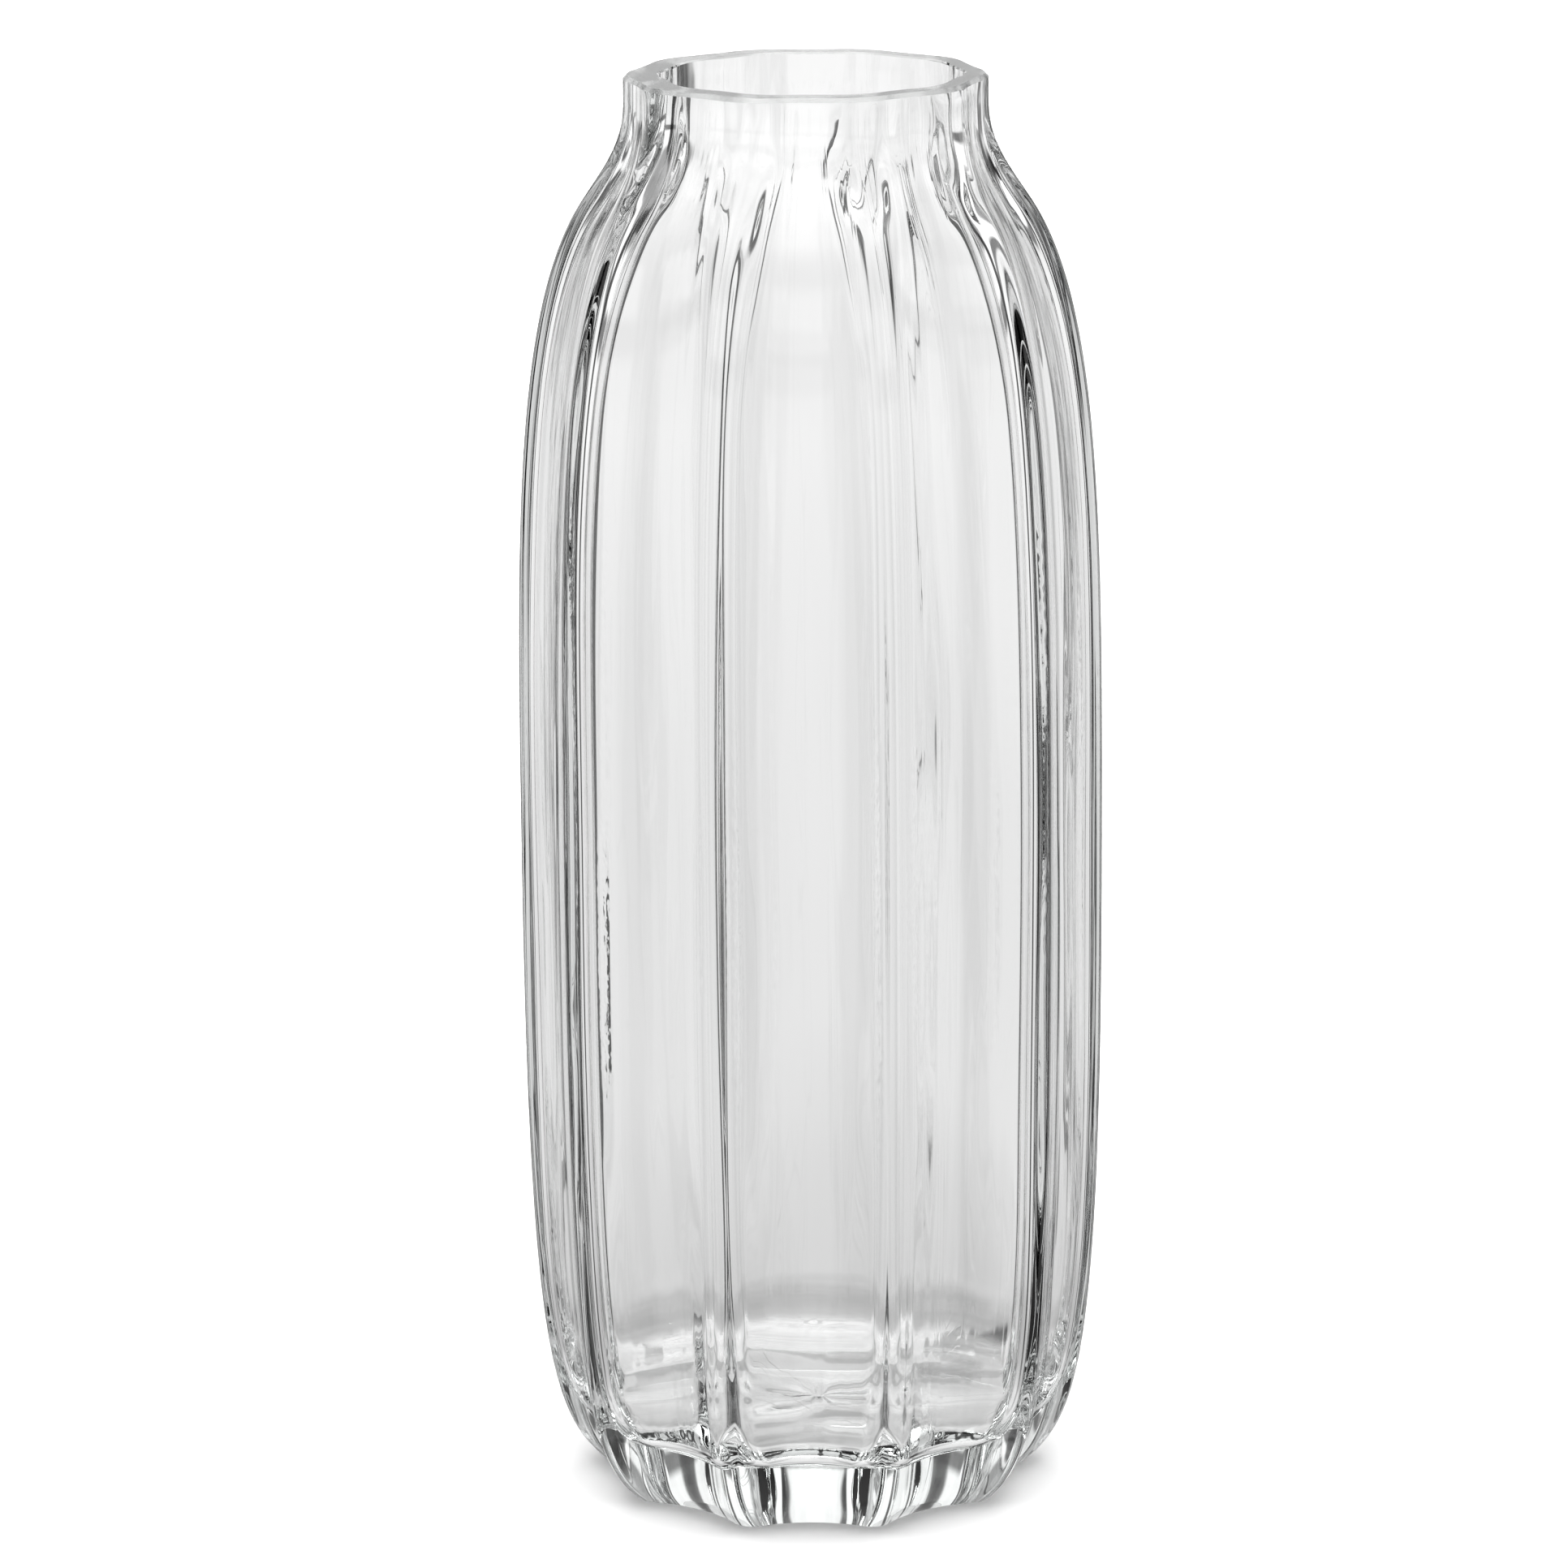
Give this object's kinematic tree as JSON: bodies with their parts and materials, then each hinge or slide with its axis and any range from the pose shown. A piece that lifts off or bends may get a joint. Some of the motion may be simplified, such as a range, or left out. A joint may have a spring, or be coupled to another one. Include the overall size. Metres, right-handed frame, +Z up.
{
  "type": "flower vase",
  "caption": "Tall clear glass vase with shallow upright flutes, a swelling body, a short narrow neck and a thick foot, for cut stems.",
  "frame": {"origin": "centre of the flat resting face under the foot", "axes": "+Z up along the vase's axis towards the mouth, +X through one of the ridges, -Y through the middle of one flute"},
  "size_m": [0.1306, 0.1246, 0.32],
  "materials": {
    "clear_glass": "clear, smooth and glossy, rim ground flat"
  },
  "bodies": {
    "root": {"vase": "clear_glass"}
  },
  "joints": []
}
